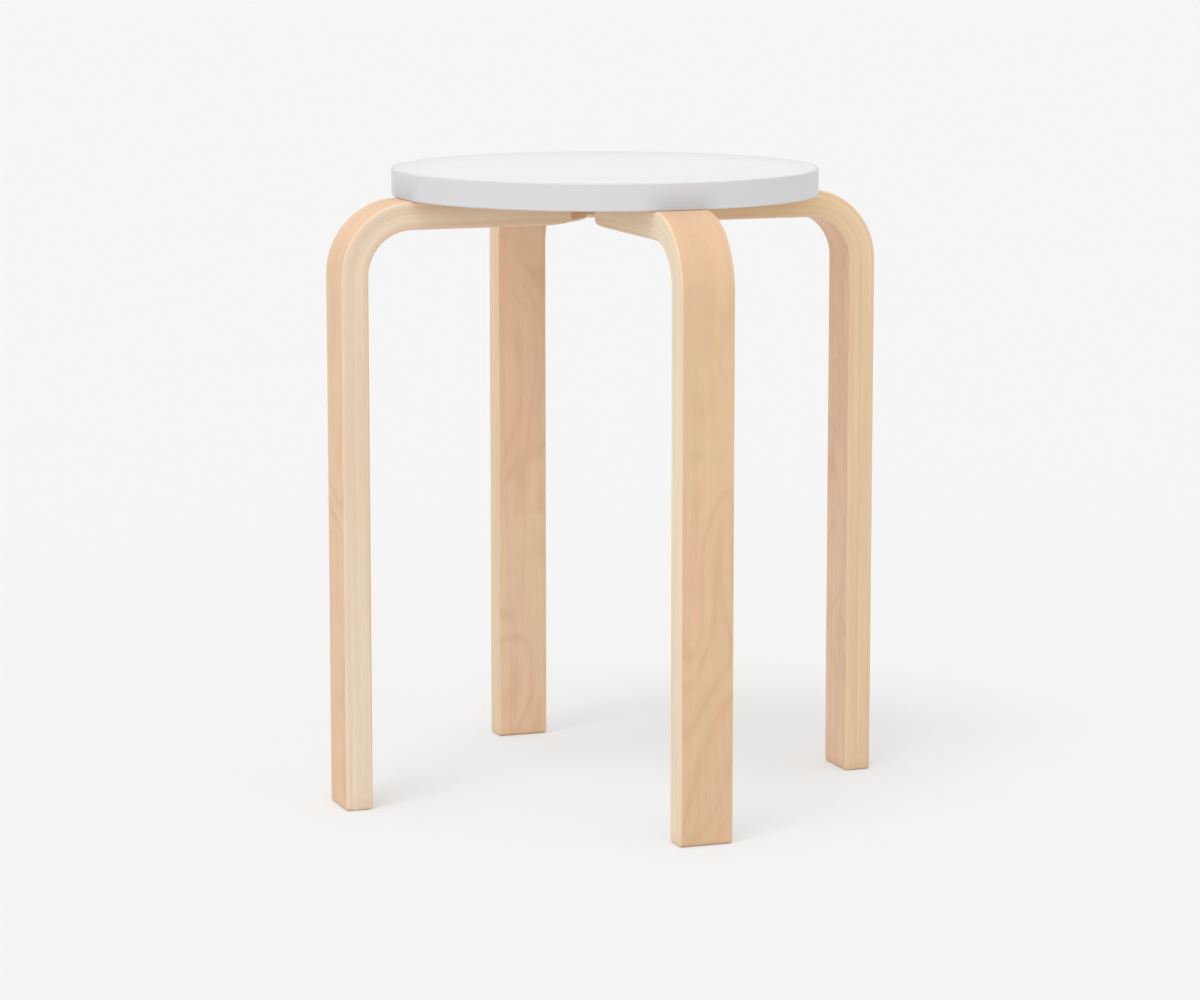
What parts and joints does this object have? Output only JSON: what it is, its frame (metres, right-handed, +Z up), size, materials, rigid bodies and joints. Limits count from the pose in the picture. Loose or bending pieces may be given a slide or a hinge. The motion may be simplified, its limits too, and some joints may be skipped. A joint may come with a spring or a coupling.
{
  "type": "stacking stool",
  "caption": "Round white seat board on L-shaped bent laminated wood legs that stand clear of its edge, so that one stool stacks over another.",
  "frame": {"origin": "on the floor, under the middle of the seat", "axes": "+Z up; -Y towards the front leg, +X towards the right leg"},
  "size_m": [0.404, 0.404, 0.45],
  "materials": {
    "bent_birch": "clear matt lacquer on birch veneer",
    "chipboard": "raw board",
    "white_laminate": "satin white",
    "white_edging": "satin white",
    "backing_laminate": "matt light brown",
    "zinc_steel": "bright zinc plate",
    "insert_metal": "plain"
  },
  "bodies": {
    "root": {"seat_core": "chipboard", "seat_top_laminate": "white_laminate", "seat_backing_laminate": "backing_laminate", "seat_edging": "white_edging", "leg_front": "bent_birch", "leg_right": "bent_birch", "leg_back": "bent_birch", "leg_left": "bent_birch", "bolt_front_inner": "zinc_steel", "insert_front_inner": "insert_metal", "bolt_front_outer": "zinc_steel", "insert_front_outer": "insert_metal", "bolt_right_inner": "zinc_steel", "insert_right_inner": "insert_metal", "bolt_right_outer": "zinc_steel", "insert_right_outer": "insert_metal", "bolt_back_inner": "zinc_steel", "insert_back_inner": "insert_metal", "bolt_back_outer": "zinc_steel", "insert_back_outer": "insert_metal", "bolt_left_inner": "zinc_steel", "insert_left_inner": "insert_metal", "bolt_left_outer": "zinc_steel", "insert_left_outer": "insert_metal"}
  },
  "joints": []
}
